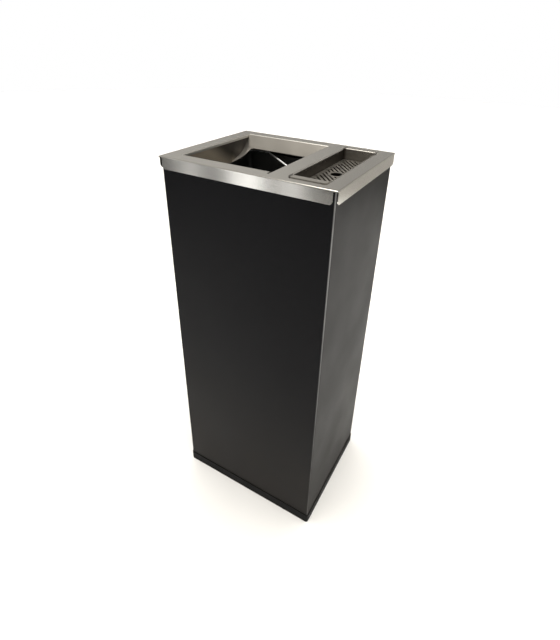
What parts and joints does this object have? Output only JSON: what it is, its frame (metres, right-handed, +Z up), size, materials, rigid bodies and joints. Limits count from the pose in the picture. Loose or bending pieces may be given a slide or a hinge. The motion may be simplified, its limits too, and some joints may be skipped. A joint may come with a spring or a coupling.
{
  "type": "ashtray bin",
  "caption": "Tall rectangular litter bin with a lift-off steel lid: an open waste mouth over a curved chute beside a slotted ash tray.",
  "frame": {"origin": "centre of the footprint, on the floor", "axes": "+Z up, +X along the long side towards the ash tray, front face towards -Y"},
  "size_m": [0.3, 0.24, 0.7],
  "materials": {
    "black_powder_coat": "satin black powder coat, fine texture",
    "stainless_lid": "brushed stainless, fine straight grain",
    "stainless_inner": "mill-finish stainless, faint grain",
    "galvanised": "hot-dip galvanised, faint spangle",
    "black_trim": "matte black moulded plastic",
    "zinc_fastener": "zinc-plated steel",
    "bright_wire": "bright drawn wire"
  },
  "bodies": {
    "housing": {"body_shell": "black_powder_coat", "top_ring": "black_powder_coat", "seam_strip": "galvanised", "seam_rivets": "black_powder_coat", "base_plate": "galvanised", "base_trim": "black_trim", "base_screws": "zinc_fastener", "liner_guide": "galvanised"},
    "lid": {"lid_frame": "stainless_lid", "hopper_chute": "stainless_inner", "hopper_left_plate": "stainless_inner", "hopper_right_plate": "stainless_inner", "hopper_front_plate": "stainless_inner", "lid_tabs": "stainless_inner"},
    "ash_pan": {"ash_pan": "stainless_lid", "grate_ledges": "stainless_inner"},
    "grate": {"ash_grate": "stainless_lid"},
    "liner": {"liner_body": "galvanised", "liner_base": "galvanised", "handle_ears": "galvanised", "ear_rivets": "zinc_fastener"},
    "bail": {"bail_handle": "bright_wire"}
  },
  "joints": [
    {"name": "lid_lift", "type": "slide", "parent": "housing", "child": "lid", "axis": [0, 0, 1], "range_m": [0, 0.85]},
    {"name": "ash_pan_lift", "type": "slide", "parent": "lid", "child": "ash_pan", "axis": [0, 0, 1], "range_m": [0, 0.08]},
    {"name": "grate_lift", "type": "slide", "parent": "ash_pan", "child": "grate", "axis": [0, 0, 1], "range_m": [0, 0.03]},
    {"name": "liner_lift", "type": "slide", "parent": "housing", "child": "liner", "axis": [0, 0, 1], "range_m": [0, 0.665]},
    {"name": "bail_swing", "type": "hinge", "parent": "liner", "child": "bail", "pos_m": [-0.035, 0, 0.6585], "axis": [1, 0, 0], "range_deg": [0, 85]}
  ],
  "couplings": [
    {"joint": "liner_lift", "follows": "lid_lift", "ratio": 0.78},
    {"joint": "bail_swing", "follows": "lid_lift", "rad_per_m": 1.74}
  ]
}
